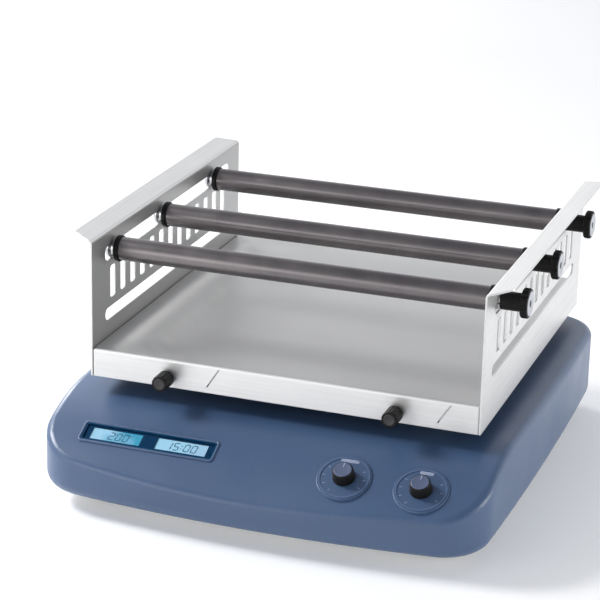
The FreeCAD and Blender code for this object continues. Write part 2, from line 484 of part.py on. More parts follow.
# flat cable from the display board to the main board
path = [(-168.8, 52.0), (-166.4, 47.0), (-150.0, 38.5), (-136.0, 38.5), (-136.0, 34.1)]
half = 0.5
left, right = [], []
for i, (a, b) in enumerate(path):
    n = []
    for j in (i - 1, i):
        if 0 <= j < len(path) - 1:
            ex, ez = path[j + 1][0] - path[j][0], path[j + 1][1] - path[j][1]
            q = math.hypot(ex, ez)
            n.append((-ez / q, ex / q))
    nx, nz = sum(p[0] for p in n), sum(p[1] for p in n)
    q = math.hypot(nx, nz)
    m = half / (q / len(n)) / 1.0
    nx, nz = nx / q, nz / q
    left.append(V(DISPLAY_X + 44.9, a + nx * m, b + nz * m))
    right.append(V(DISPLAY_X + 44.9, a - nx * m, b - nz * m))
cable = Part.Face(Part.makePolygon(left + right[::-1] + left[:1])).extrude(V(12.0, 0, 0))
save("display_cable", cable)

# ---------------------------------------------------------------- platform
px, py = dx, dy + ORBIT
ty0, ty1 = TRAY_FRONT, TRAY_FRONT + TRAY_D
CARRIER_TOP = 109.7
arms = [cyl(px, py, 88.0, CARRIER_TOP, 22.0)]
for x, y in IDLERS.values():
    qx, qy = x, y + ORBIT
    arms.append(cyl(qx, qy, 88.0, CARRIER_TOP, 16.0))
    L = math.hypot(qx - px, qy - py)
    bar = box(0, L, -15, 15, 102.0, CARRIER_TOP)
    rib = box(0, L, -3, 3, 94.0, CARRIER_TOP)
    for b in (bar, rib):
        b.Placement = Placement(V(px, py, 0), Rotation(V(0, 0, 1), math.degrees(math.atan2(qy - py, qx - px))))
        arms.append(b)
carrier = fuse(arms + [box(-120, 120, py - 16, py + 16, 103.0, CARRIER_TOP), box(-15, 15, py - 5, 160, 103.0, CARRIER_TOP)])
carrier = carrier.cut(Part.makeCompound([cyl(px, py, 87, 100.0, 14.0), cyl(px, py, 99, 104.0, 8.0)] +
                                        [cyl(x, y + ORBIT, 87, 100.0, 11.0) for x, y in IDLERS.values()] +
                                        [cyl(x, y + ORBIT, 99, 104.0, 6.0) for x, y in IDLERS.values()]))
PLATE_SCREWS = [(-60.0, py), (60.0, py), (-105.0, py), (105.0, py), (0.0, 80.0), (0.0, 110.0)]
carrier = carrier.cut(Part.makeCompound([cyl(x, y, 104.0, 115, 2.0) for x, y in PLATE_SCREWS]))
save("platform_carrier", carrier)
save("platform_main_bearing", ring(px, py, 90.0, 100.0, 14.0, PIN_R + 0.06))
save("idler_upper_bearings", [ring(x, y + ORBIT, 90.0, 100.0, 11.0, IDLER_PIN_R + 0.06) for x, y in IDLERS.values()])

px1 = TRAY_W / 2 - WALL_SHEET - SHEET - 1.0
plat = fuse([rounded_box(-px1, px1, ty0 + 2.5, ty1 - 2.5, CARRIER_TOP, FLOOR_TOP - SHEET, 1.5),
             box(-px1, px1, ty0 + 2.5, ty0 + 5.5, 92.5, FLOOR_TOP - SHEET), box(-px1, px1, ty1 - 5.5, ty1 - 2.5, 92.5, FLOOR_TOP - SHEET)])
plat = plat.cut(Part.makeCompound([cyly(s * SCREW_X, ty0 - 2, ty0 + 8, SCREW_Z, 2.56) for s in (-1, 1)] +
                                  [cyl(x, y, 108, 115, 2.3) for x, y in PLATE_SCREWS] +
                                  [cyl(x, y, 111.7, 115, 4.4) for x, y in PLATE_SCREWS] +
                                  [cyl(x, y, 108, 116, 22.0) for x in (-95.0, 95.0) for y in (-20.0, 92.0, 150.0)]))
save("platform_plate", plat)
pscrews = [fuse([cyl(x, y, 111.7, 114.0, 4.0), cyl(x, y, 104.2, 112.0, 1.95)]) for x, y in PLATE_SCREWS]

# tray: floor folded down on four sides
hx = TRAY_W / 2 - WALL_SHEET


def pan(d, z1, r_top, r_side):
    b = box(-hx + d, hx - d, ty0 + d, ty1 - d, APRON_BOTTOM - (5 if d else 0), z1)
    vert = [e for e in b.Edges if abs(e.Vertexes[1].Point.z - e.Vertexes[0].Point.z) > 5]
    b = b.makeFillet(r_side, vert)
    top = [e for e in b.Edges if e.BoundBox.ZMin > z1 - 0.01]
    return b.makeFillet(r_top, top)


tray = pan(0, FLOOR_TOP, 2.2, 1.8).cut(pan(SHEET, FLOOR_TOP - SHEET, 0.7, 0.3))
tray = tray.cut(Part.makeCompound([cyly(s * SCREW_X, ty0 - 2, ty0 + 5, SCREW_Z, 3.0) for s in (-1, 1)]))
slits = []
for s in (-1, 1):
    slit = rounded_box(-SLIT_W / 2, SLIT_W / 2, ty0 - 2, ty0 + SHEET + 0.5, -SLIT_L / 2, SLIT_L / 2, SLIT_W / 2 - 0.02, "y")
    slit.Placement = Placement(V(s * SCREW_X + SLIT_DX, 0, SLIT_Z), Rotation(V(0, 1, 0), SLIT_TILT))
    slits.append(slit)
tray = tray.cut(Part.makeCompound(slits))
wall_screw_at = [(y, 103.0) for y in (ty0 + 32, (ty0 + ty1) / 2, ty1 - 32)]
tray = tray.cut(Part.makeCompound([cylx(s * hx - 4, s * hx + 4, y, z, 2.1) for s in (-1, 1) for y, z in wall_screw_at]))
save("tray_pan", tray)


def side_wall(s):
    x0, x1 = hx, TRAY_W / 2
    ro, ri = 3.0, 3.0 - WALL_SHEET
    th = math.atan2(FLANGE_RISE, FLANGE + WALL_SHEET)
    t = ro * math.tan((math.pi / 2 - th) / 2)
    cen = V(x0 + ro, 0, WALL_TOP - t)
    up, down = V(-math.sin(th), 0, math.cos(th)), V(math.sin(th), 0, -math.cos(th))
    mid = V(-1, 0, 0) + up
    mid.normalize()
    tip = V(x1 + FLANGE, 0, WALL_TOP + FLANGE_RISE)
    P = [V(x0, 0, APRON_BOTTOM), V(x1, 0, APRON_BOTTOM), V(x1, 0, cen.z), cen + up * ri, tip + down * WALL_SHEET, tip, cen + up * ro, V(x0, 0, cen.z)]
    edges = [Part.LineSegment(P[0], P[1]).toShape(), Part.LineSegment(P[1], P[2]).toShape(), Part.Arc(P[2], cen + mid * ri, P[3]).toShape(),
             Part.LineSegment(P[3], P[4]).toShape(), Part.LineSegment(P[4], P[5]).toShape(), Part.LineSegment(P[5], P[6]).toShape(),
             Part.Arc(P[6], cen + mid * ro, P[7]).toShape(), Part.LineSegment(P[7], P[0]).toShape()]
    wall = Part.Face(Part.Wire(edges)).extrude(V(0, TRAY_D, 0))
    wall.translate(V(0, ty0, 0))
    # the flange's ends are cut back and rounded at the tip
    xa, xb = x1 + 1.2, x1 + FLANGE + 1.0
    yb = FLANGE_CUT * (xb - xa) / (x1 + FLANGE - xa)
    for y, d in ((ty0, 1), (ty1, -1)):
        tri = Part.Face(Part.makePolygon([V(xa, y - d, WALL_TOP - 6), V(xa, y, WALL_TOP - 6), V(xb, y + d * yb, WALL_TOP - 6), V(xb, y - d, WALL_TOP - 6), V(xa, y - d, WALL_TOP - 6)]))
        wall = wall.cut(tri.extrude(V(0, 0, 20)))
    tips = [e for e in wall.Edges if e.Length < 3 and e.BoundBox.XMax > x1 + FLANGE - 0.01 and e.BoundBox.YLength < 0.5 and e.BoundBox.ZLength > 1]
    wall = wall.makeFillet(4.0, tips)
    c = [rounded_box(x0 - 2, x1 + 2, ty0 + SLOT_END, ty1 - SLOT_END, z - h / 2, z + h / 2, h / 2 - 0.05, "x") for z, h in (BAR_SLOT, LOW_SLOT)]
    pitch = (TRAY_D - 2 * RIB_FIRST) / (RIB_SLOTS - 1)
    for i in range(RIB_SLOTS):
        y = ty0 + RIB_FIRST + pitch * i
        c.append(rounded_box(x0 - 2, x1 + 2, y - RIB_SLOT_W / 2, y + RIB_SLOT_W / 2, RIB_SLOT_Z[0], RIB_SLOT_Z[1], 2.5, "x"))
    wall = wall.cut(Part.makeCompound(c))
    return wall if s > 0 else wall.mirror(V(0, 0, 0), V(1, 0, 0))


save("side_wall_right", side_wall(1))
save("side_wall_left", side_wall(-1))
# studs welded to the walls' inner faces go through the folded edge of the floor, with nuts inside
for s in (-1, 1):
    for y, z in wall_screw_at:
        stud = cylx(hx - 6.5, hx, y, z, 2.0)
        nut = cylx(hx - SHEET - 2.2, hx - SHEET, y, z, 3.6).cut(cylx(0, 200, y, z, 2.0))
        pscrews += [p if s > 0 else p.mirror(V(0, 0, 0), V(1, 0, 0)) for p in (stud, nut)]
save("platform_screws", pscrews)

# thumb screws that hold the tray to the platform: a long fluted knob on a short neck
for s, name in ((-1, "tray_screw_left"), (1, "tray_screw_right")):
    x = s * SCREW_X
    h = cyly(x, ty0 - 19.0, ty0 - 3.2, SCREW_Z, 6.8)
    h = h.makeFillet(1.3, [e for e in h.Edges if e.Curve.TypeId == "Part::GeomCircle"])
    h = h.cut(Part.makeCompound([cyly(x + 7.9 * math.cos(math.radians(a)), ty0 - 21, ty0 - 5.6, SCREW_Z + 7.9 * math.sin(math.radians(a)), 1.5)
                                 for a in range(0, 360, 30)]))
    save(name, fuse([h, cyly(x, ty0 - 4.0, ty0 - 0.4, SCREW_Z, 4.4), cyly(x, ty0 - 3, ty0 + 12, SCREW_Z, 2.5)]))

# ---------------------------------------------------------------- clamping bars
xin = TRAY_W / 2 - WALL_SHEET
xout = TRAY_W / 2
for label, by in zip(("front", "middle", "rear"), BAR_Y):
    y = ty0 + by
    c0, c1, c2 = SLEEVE_HALF, SLEEVE_HALF + COLLAR_L, xin - 0.35
    # rod with a low head outside the left wall, a stud for the knob outside the right wall, and a spacer inside each wall
    knob_head = cylx(-xout - 0.3 - HEAD_T, -xout - 0.3, y, BAR_Z, HEAD_R)
    knob_head = knob_head.makeFillet(1.6, [e for e in knob_head.Edges if e.Curve.TypeId == "Part::GeomCircle" and e.BoundBox.XMax < -xout - 1.0])
    rod = fuse([cylx(-xout - 1.0, xout + 0.2, y, BAR_Z, ROD_R), knob_head, cylx(xout - 1, xout + 17.0, y, BAR_Z, STUD_R)])
    spacers = [cylx(a, b, y, BAR_Z, SPACER_R).cut(cylx(a - 1, b + 1, y, BAR_Z, ROD_R)) for a, b in ((-c2, -c1), (c1, c2))]
    save(label + "_bar_rod", [rod] + spacers)
    collars = []
    for a, b in ((-c1, -c0), (c0, c1)):
        col = cylx(a, b, y, BAR_Z, COLLAR_R)
        col = col.makeFillet(0.8, [e for e in col.Edges if e.Curve.TypeId == "Part::GeomCircle"])
        collars.append(col.cut(cylx(a - 1, b + 1, y, BAR_Z, ROD_R)))
    save(label + "_bar_collars", collars)
    sl = cylx(-c0, c0, y, BAR_Z, SLEEVE_R)
    sl = sl.makeFillet(0.6, [e for e in sl.Edges if e.Curve.TypeId == "Part::GeomCircle"])
    save(label + "_bar_sleeve", sl.cut(cylx(-c0 - 1, c0 + 1, y, BAR_Z, ROD_R)))
    neck = cylx(xout + 0.4, xout + 17.5, y, BAR_Z, 7.4)
    disc = cylx(xout + 17.0, xout + 23.2, y, BAR_Z, 12.0)
    disc = disc.makeFillet(1.6, [e for e in disc.Edges if e.Curve.TypeId == "Part::GeomCircle"])
    disc = disc.cut(Part.makeCompound([cylx(xout + 16.5, xout + 25, y + 13.2 * math.cos(math.radians(a)), BAR_Z + 13.2 * math.sin(math.radians(a)), 2.2)
                                       for a in range(0, 360, 45)]))
    save(label + "_bar_knob", fuse([neck, disc]).cut(cylx(xout, xout + 18.0, y, BAR_Z, STUD_R + 0.06)))

print(len(made), "nodes")
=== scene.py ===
import json
import math

import bmesh
import bpy
from mathutils import Matrix, Vector


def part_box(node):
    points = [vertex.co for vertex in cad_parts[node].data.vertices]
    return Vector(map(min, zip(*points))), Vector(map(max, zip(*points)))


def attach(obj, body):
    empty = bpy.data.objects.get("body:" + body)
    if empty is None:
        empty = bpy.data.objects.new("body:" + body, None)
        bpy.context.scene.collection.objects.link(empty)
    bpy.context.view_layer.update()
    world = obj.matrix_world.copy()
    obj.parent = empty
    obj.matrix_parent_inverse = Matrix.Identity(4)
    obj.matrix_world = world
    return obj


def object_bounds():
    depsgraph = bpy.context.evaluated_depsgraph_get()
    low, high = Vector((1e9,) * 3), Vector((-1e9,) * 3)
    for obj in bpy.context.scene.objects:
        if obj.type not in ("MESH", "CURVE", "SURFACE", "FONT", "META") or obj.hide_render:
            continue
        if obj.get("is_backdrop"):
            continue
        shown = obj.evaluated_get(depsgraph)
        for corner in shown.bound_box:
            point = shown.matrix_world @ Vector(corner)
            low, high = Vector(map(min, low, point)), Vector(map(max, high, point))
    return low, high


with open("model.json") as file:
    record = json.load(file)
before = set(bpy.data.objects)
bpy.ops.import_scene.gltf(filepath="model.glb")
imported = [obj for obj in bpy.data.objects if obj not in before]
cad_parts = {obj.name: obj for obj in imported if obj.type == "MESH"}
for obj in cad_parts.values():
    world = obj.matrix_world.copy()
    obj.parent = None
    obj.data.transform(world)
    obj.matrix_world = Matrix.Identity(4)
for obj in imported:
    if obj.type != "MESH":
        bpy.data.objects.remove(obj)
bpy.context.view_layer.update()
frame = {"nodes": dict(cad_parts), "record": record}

scene = bpy.context.scene
NODES = frame["nodes"]
BODY_OF = {n: b for b, ns in frame["record"]["behaviour"]["bodies"].items() for n in ns}
SLOT_OF = {s["node"]: s["material_slot"] for s in frame["record"]["subparts"]}

# ------------------------------------------------------------------ camera
AZ, EL, ROLL = math.radians(19.576), math.radians(19.298), math.radians(1.195)
TARGET, DIST = Vector((0.0, -0.1285, 0.18706)), 1.7698
back = Vector((math.sin(AZ) * math.cos(EL), -math.cos(AZ) * math.cos(EL), math.sin(EL)))
right = (-back).cross(Vector((0, 0, 1))).normalized()
up = right.cross(-back)
cam_x = right * math.cos(ROLL) + up * math.sin(ROLL)
cam_y = -right * math.sin(ROLL) + up * math.cos(ROLL)
cam_data = bpy.data.cameras.new("camera")
cam_data.sensor_width = 36.0
cam_data.lens = 135.610
cam_data.shift_x, cam_data.shift_y = 0.029243, -0.014072
cam_data.clip_start, cam_data.clip_end = 0.05, 50.0
cam = bpy.data.objects.new("camera", cam_data)
scene.collection.objects.link(cam)
m = Matrix((cam_x, cam_y, back)).transposed().to_4x4()
m.translation = TARGET + back * DIST
cam.matrix_world = m
scene.camera = cam

# ------------------------------------------------------------------ materials


class Mat:
    """A node material on one Principled shader, with helpers for procedural detail in object space (metres)."""

    def __init__(self, name, color, rough, metallic=0.0, spec=0.5, coat=0.0, coat_rough=0.1, ior=1.5, aniso=0.0):
        self.m = bpy.data.materials.new(name)
        self.m.use_nodes = True
        self.nt = self.m.node_tree
        self.nt.nodes.clear()
        self.out = self.nt.nodes.new("ShaderNodeOutputMaterial")
        self.b = self.nt.nodes.new("ShaderNodeBsdfPrincipled")
        self.link(self.b.outputs[0], self.out.inputs[0])
        self.b.inputs["Base Color"].default_value = (*color, 1.0)
        self.b.inputs["Roughness"].default_value = rough
        self.b.inputs["Metallic"].default_value = metallic
        self.b.inputs["Specular IOR Level"].default_value = spec
        self.b.inputs["IOR"].default_value = ior
        self.b.inputs["Coat Weight"].default_value = coat
        self.b.inputs["Coat Roughness"].default_value = coat_rough
        self.b.inputs["Anisotropic"].default_value = aniso
        self.m.diffuse_color = (*color, 1.0)
        self.coord = self.nt.nodes.new("ShaderNodeTexCoord").outputs["Object"]
        self.normal = None

    def link(self, a, b):
        self.nt.links.new(a, b)

    def node(self, kind, **props):
        n = self.nt.nodes.new(kind)
        for k, v in props.items():
            setattr(n, k, v)
        return n

    def mapped(self, scale=(1, 1, 1), rot=(0, 0, 0), loc=(0, 0, 0)):
        n = self.node("ShaderNodeMapping")
        n.inputs["Scale"].default_value = scale
        n.inputs["Rotation"].default_value = rot
        n.inputs["Location"].default_value = loc
        self.link(self.coord, n.inputs["Vector"])
        return n.outputs[0]

    def noise(self, scale, detail=3.0, rough=0.55, vec=None, distortion=0.0):
        n = self.node("ShaderNodeTexNoise")
        n.inputs["Scale"].default_value = scale
        n.inputs["Detail"].default_value = detail
        n.inputs["Roughness"].default_value = rough
        n.inputs["Distortion"].default_value = distortion
        self.link(vec or self.coord, n.inputs["Vector"])
        return n.outputs["Fac"]

    def voronoi(self, scale, vec=None, feature="F1"):
        n = self.node("ShaderNodeTexVoronoi", feature=feature)
        n.inputs["Scale"].default_value = scale
        self.link(vec or self.coord, n.inputs["Vector"])
        return n.outputs["Distance"]

    def ramp(self, fac, lo, hi, out_lo=0.0, out_hi=1.0):
        n = self.node("ShaderNodeMapRange")
        n.inputs["From Min"].default_value = lo
        n.inputs["From Max"].default_value = hi
        n.inputs["To Min"].default_value = out_lo
        n.inputs["To Max"].default_value = out_hi
        self.link(fac, n.inputs["Value"])
        return n.outputs["Result"]

    def math(self, op, a, b):
        n = self.node("ShaderNodeMath", operation=op)
        for i, x in enumerate((a, b)):
            if isinstance(x, (int, float)):
                n.inputs[i].default_value = x
            else:
                self.link(x, n.inputs[i])
        return n.outputs[0]

    def mix(self, fac, a, b):
        n = self.node("ShaderNodeMix", data_type="RGBA")
        for key, x in (("Factor", fac), ("A", a), ("B", b)):
            sock = [s for s in n.inputs if s.name == key and (key == "Factor" and s.type == "VALUE" or key != "Factor" and s.type == "RGBA")][0]
            if isinstance(x, (int, float)):
                sock.default_value = x
            elif isinstance(x, tuple):
                sock.default_value = (*x, 1.0)
            else:
                self.link(x, sock)
        return [s for s in n.outputs if s.type == "RGBA"][0]

    def color(self, sock):
        self.link(sock, self.b.inputs["Base Color"])

    def rough(self, sock):
        self.link(sock, self.b.inputs["Roughness"])

    def bump(self, height, strength, distance):
        n = self.node("ShaderNodeBump")
        n.inputs["Strength"].default_value = strength
        n.inputs["Distance"].default_value = distance
        self.link(height, n.inputs["Height"])
        if self.normal is not None:
            self.link(self.normal, n.inputs["Normal"])
        self.normal = n.outputs[0]
        self.link(self.normal, self.b.inputs["Normal"])

    def edges(self, radius=0.0004):
        """Rounds the look of hard edges by a fraction of a millimetre."""
        n = self.node("ShaderNodeBevel", samples=4)
        n.inputs["Radius"].default_value = radius
        if self.normal is not None:
            self.link(self.normal, n.inputs["Normal"])
        self.normal = n.outputs[0]
        self.link(self.normal, self.b.inputs["Normal"])


def srgb(r, g, b):
    def f(c):
        c /= 255.0
        return c / 12.92 if c <= 0.04045 else ((c + 0.055) / 1.055) ** 2.4
    return (f(r), f(g), f(b))


def housing_paint():
    """Satin lacquer with a fine orange peel and a slightly uneven tone."""
    k = Mat("housing_paint", srgb(64, 88, 122), 0.40, coat=0.20, coat_rough=0.25)
    big = k.noise(6.0, 2.0)
    fine = k.noise(420.0, 4.0)
    c = k.mix(k.ramp(big, 0.3, 0.7), srgb(60, 84, 118), srgb(68, 92, 126))
    k.color(k.mix(k.math("MULTIPLY", k.ramp(fine, 0.40, 0.80), 0.10), c, srgb(94, 110, 140)))
    k.rough(k.ramp(k.noise(14.0, 5.0), 0.3, 0.7, 0.34, 0.46))
    k.bump(k.noise(1500.0, 2.0), 0.08, 0.00010)
    k.bump(k.noise(230.0, 2.0), 0.05, 0.00020)
    return k.m


def stainless(name, brush, rough=(0.34, 0.44), tone=(0.80, 0.795, 0.785), metallic=0.72, inside_shade=0.70):
    """Satin sheet with a faint grain along one axis, soft smudges and lightly rounded edges; the faces that look into
    the tray are painted darker, a painted shade and painted dark reflection for the tray's interior."""
    k = Mat(name, tone, 0.38, metallic=metallic)
    scale = [850.0, 850.0, 850.0]
    scale[brush] = 8.0
    grain = k.noise(1.0, 3.0, 0.6, k.mapped(tuple(scale)))
    smudge = k.noise(9.0, 5.0, 0.6, distortion=0.5)
    facing = k.node("ShaderNodeSeparateXYZ")
    k.link(k.node("ShaderNodeTexCoord").outputs["Normal"], facing.inputs[0])
    place = k.node("ShaderNodeSeparateXYZ")
    k.link(k.coord, place.inputs[0])
    # mask of the faces that look into the tray, which get the painted shade
    if brush == 0:
        painted_shade_mask = k.ramp(facing.outputs[2], 0.85, 0.95)
    else:
        painted_shade_mask = k.math("MULTIPLY", k.ramp(k.math("MULTIPLY", facing.outputs[0], k.math("SIGN", place.outputs[0], 0.0)), -0.90, -0.80, 1.0, 0.0), 1.0)
    k.rough(k.math("ADD", k.ramp(smudge, 0.3, 0.75, rough[0], rough[1]), k.ramp(grain, 0.3, 0.7, -0.03, 0.04)))
    cloudy = k.mix(k.ramp(k.noise(24.0, 4.0, 0.5), 0.3, 0.7), tuple(c * 0.965 for c in tone), tone)
    # painted shade: a darker tone for the faces that look into the tray, standing for shade and dark reflections there
    painted_shade_tone = k.mix(k.ramp(smudge, 0.35, 0.7), tuple(c * inside_shade * 0.93 for c in tone), tuple(c * inside_shade for c in tone))
    k.color(k.mix(k.math("MULTIPLY", k.ramp(grain, 0.35, 0.75), 0.35), k.mix(painted_shade_mask, cloudy, painted_shade_tone), tuple(c * 0.90 * (1 + inside_shade) / 2 for c in tone)))
    k.bump(grain, 0.06, 0.00006)
    k.edges(0.00035)
    return k.m


def plain_metal(name, tone, rough, grain_scale=500.0, spread=0.10, bump=0.10):
    k = Mat(name, tone, rough, metallic=1.0)
    g = k.noise(grain_scale, 4.0)
    k.rough(k.ramp(k.noise(60.0, 4.0), 0.3, 0.7, rough - spread / 2, rough + spread / 2))
    k.color(k.mix(k.ramp(g, 0.3, 0.7), tuple(c * 0.86 for c in tone), tone))
    k.bump(g, bump, 0.00008)
    return k.m


def moulded(name, tone, rough, grain=1600.0, bump=0.25, vary=0.25, spec=0.5, edge=0.0):
    k = Mat(name, tone, rough, spec=spec)
    g = k.noise(grain, 3.0)
    k.rough(k.ramp(k.noise(90.0, 4.0), 0.3, 0.7, rough - 0.06, rough + 0.08))
    k.color(k.mix(k.ramp(k.noise(180.0, 4.0), 0.3, 0.75), tone, tuple(c * (1 + vary) + 0.001 for c in tone)))
    k.bump(g, bump, 0.00010)
    if edge:
        k.edges(edge)
    return k.m


def sleeve():
    """Dark warm grey tube, half gloss, with faint drawing lines along it."""
    k = Mat("sleeve_rubber", srgb(116, 111, 113), 0.30, metallic=0.85, spec=0.5)
    long_grain = k.noise(1.0, 3.0, 0.6, k.mapped((18.0, 800.0, 800.0)))
    spots = k.noise(700.0, 4.0)
    c = k.mix(k.ramp(k.noise(20.0, 4.0), 0.3, 0.7), srgb(107, 102, 104), srgb(125, 120, 120))
    k.color(k.mix(k.math("MULTIPLY", k.ramp(spots, 0.45, 0.75), 0.16), c, srgb(136, 130, 128)))
    k.rough(k.ramp(k.noise(40.0, 4.0), 0.3, 0.7, 0.28, 0.37))
    k.bump(spots, 0.10, 0.00008)
    k.bump(long_grain, 0.06, 0.00008)
    return k.m


def lcd():
    """Backlit panel, paler at one end, with the fine line pattern of the glass."""
    k = Mat("lcd_glass", srgb(150, 196, 214), 0.30)
    sep = k.node("ShaderNodeSeparateXYZ")
    k.link(k.coord, sep.inputs[0])
    x = sep.outputs[0]
    wash = k.noise(70.0, 3.0, 0.5)
    drift = k.ramp(wash, 0.35, 0.65, -1, 1)
    t = k.math("ADD", k.ramp(x, -0.144, -0.101), k.math("MULTIPLY", drift, 0.22))
    left = k.mix(k.ramp(t, 0.05, 0.85), srgb(172, 210, 226), srgb(60, 158, 184))
    t2 = k.math("ADD", k.ramp(x, -0.088, -0.045), k.math("MULTIPLY", drift, 0.35))
    right_c = k.mix(k.ramp(t2, 0.0, 1.0), srgb(170, 214, 228), srgb(176, 206, 226))
    side = k.ramp(x, -0.0950, -0.0945)
    col = k.mix(side, left, right_c)
    lines = k.noise(1.0, 1.0, 0.5, k.mapped((2600.0, 20.0, 20.0)))
    col = k.mix(k.math("MULTIPLY", k.ramp(lines, 0.4, 0.6), 0.12), col, srgb(92, 134, 152))
    k.color(col)
    k.link(col, k.b.inputs["Emission Color"])
    k.b.inputs["Emission Strength"].default_value = 0.30
    k.rough(k.ramp(k.noise(40.0, 3.0), 0.3, 0.7, 0.24, 0.36))
    return k.m


def clear_cover():
    m = bpy.data.materials.new("window_clear")
    m.use_nodes = True
    nt = m.node_tree
    nt.nodes.clear()
    out = nt.nodes.new("ShaderNodeOutputMaterial")
    mix = nt.nodes.new("ShaderNodeMixShader")
    clear = nt.nodes.new("ShaderNodeBsdfTransparent")
    clear.inputs[0].default_value = (0.93, 0.965, 0.99, 1.0)
    gloss = nt.nodes.new("ShaderNodeBsdfGlossy")
    gloss.inputs["Roughness"].default_value = 0.08
    fres = nt.nodes.new("ShaderNodeFresnel")
    fres.inputs["IOR"].default_value = 1.16
    tex = nt.nodes.new("ShaderNodeTexCoord")
    noise = nt.nodes.new("ShaderNodeTexNoise")
    noise.inputs["Scale"].default_value = 120.0
    noise.inputs["Detail"].default_value = 4.0
    bump = nt.nodes.new("ShaderNodeBump")
    bump.inputs["Strength"].default_value = 0.04
    bump.inputs["Distance"].default_value = 0.0001
    nt.links.new(tex.outputs["Object"], noise.inputs["Vector"])
    nt.links.new(noise.outputs["Fac"], bump.inputs["Height"])
    nt.links.new(bump.outputs[0], gloss.inputs["Normal"])
    nt.links.new(fres.outputs[0], mix.inputs[0])
    nt.links.new(clear.outputs[0], mix.inputs[1])
    nt.links.new(gloss.outputs[0], mix.inputs[2])
    nt.links.new(mix.outputs[0], out.inputs[0])
    m.diffuse_color = (0.85, 0.92, 0.95, 0.25)
    return m


def board():
    k = Mat("circuit_board", (0.03, 0.16, 0.08), 0.45)
    cells = k.voronoi(220.0)
    k.color(k.mix(k.ramp(cells, 0.2, 0.35), (0.02, 0.11, 0.055), (0.035, 0.19, 0.09)))
    k.rough(k.ramp(k.noise(80.0), 0.3, 0.7, 0.38, 0.55))
    k.bump(cells, 0.2, 0.0001)
    return k.m


MATS = {
    "housing": housing_paint(),
    "base_sheet": plain_metal("zinc_sheet", (0.62, 0.63, 0.64), 0.38, 60.0, 0.16, 0.05),
    "foot_rubber": moulded("foot_rubber", (0.018, 0.018, 0.018), 0.70, 900.0, 0.35),
    "screw_steel": plain_metal("screw_steel", (0.60, 0.60, 0.61), 0.30, 900.0, 0.12, 0.10),
    "cast_alloy": plain_metal("cast_alloy", (0.60, 0.61, 0.62), 0.48, 260.0, 0.14, 0.35),
    "bearing_steel": plain_metal("bearing_steel", (0.66, 0.66, 0.67), 0.16, 1200.0, 0.06, 0.04),
    "shaft_steel": plain_metal("shaft_steel", (0.52, 0.52, 0.53), 0.28, 1000.0, 0.10, 0.08),
    "motor_paint": moulded("motor_paint", (0.02, 0.02, 0.022), 0.40, 700.0, 0.15),
    "belt_rubber": moulded("belt_rubber", (0.02, 0.02, 0.02), 0.65, 900.0, 0.30),
    "circuit_board": board(),
    "black_plastic": moulded("black_plastic", (0.0050, 0.0050, 0.0045), 0.46, 1500.0, 0.22, spec=0.22, edge=0.0003),
    "display_blue": moulded("display_blue", srgb(2, 56, 90), 0.36, 600.0, 0.03, 0.12, spec=0.10),
    "window_clear": clear_cover(),
    "lcd": lcd(),
    "dial_ring": moulded("dial_ring", srgb(78, 100, 134), 0.42, 900.0, 0.08, 0.10),
    "cable_grey": moulded("cable_grey", (0.35, 0.35, 0.36), 0.55, 700.0, 0.10),
    "tray_steel": stainless("tray_steel", 0),
    "sleeve_rubber": sleeve(),
}
# side walls: their faces that look into the tray get a stronger painted shade
WALL_STEEL = stainless("wall_steel", 1, inside_shade=0.56)
SCREW_CAP = moulded("screw_cap", srgb(44, 40, 42), 0.42, 900.0, 0.10, 0.10)
MARK_PAINT = moulded("mark_paint", srgb(150, 160, 186), 0.50, 900.0, 0.08, 0.06)
CAP_GREY = moulded("cap_grey", srgb(188, 190, 196), 0.38, 900.0, 0.10, 0.05, edge=0.0003)
KNOB_CAP = moulded("knob_cap", srgb(86, 96, 124), 0.36, 900.0, 0.08, 0.08, edge=0.0003)
DIGIT_INK = moulded("digit_ink", srgb(62, 104, 128), 0.45, 500.0, 0.02, 0.12)

for name, ob in NODES.items():
    slot = SLOT_OF[name]
    mat = MATS.get(slot) or MATS["black_plastic"]
    if name.startswith("side_wall"):
        mat = WALL_STEEL
    for i in range(len(ob.material_slots)):
        ob.material_slots[i].material = mat
    if not ob.material_slots:
        ob.data.materials.append(mat)

# ------------------------------------------------------------------ detail pieces
PANEL_R, PANEL_YC, BASE_TOP = 0.1728, -0.0994, 0.0793
DISPLAY_AT = (-0.0945, 25.5)
KNOBS_AT = (("speed_knob", 0.0715, 27.2), ("time_knob", 0.1335, 27.2))
WINDOW_X = (-0.0282, 0.0282)


def on_panel(x, deg):
    """Frame of a spot on the convex panel: +X right, +Y up the slope, +Z out of the panel."""
    a = math.radians(deg)
    m = Matrix.Rotation(a, 4, "X")
    m.translation = Vector((x, PANEL_YC - PANEL_R * math.sin(a), BASE_TOP - PANEL_R + PANEL_R * math.cos(a)))
    return m


def finish_piece(name, bm, mat, body, place=None, smooth=True, angle=35.0):
    bmesh.ops.remove_doubles(bm, verts=bm.verts, dist=1e-7)
    bmesh.ops.recalc_face_normals(bm, faces=bm.faces)
    if place is not None:
        bmesh.ops.transform(bm, matrix=place, verts=bm.verts)
    me = bpy.data.meshes.new(name)
    for f in bm.faces:
        f.smooth = smooth
    if smooth:
        for e in bm.edges:
            if len(e.link_faces) == 2 and e.calc_face_angle(0.0) > math.radians(angle):
                e.smooth = False
    bm.to_mesh(me)
    bm.free()
    ob = bpy.data.objects.new(name, me)
    scene.collection.objects.link(ob)
    me.materials.append(mat)
    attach(ob, body)
    return ob


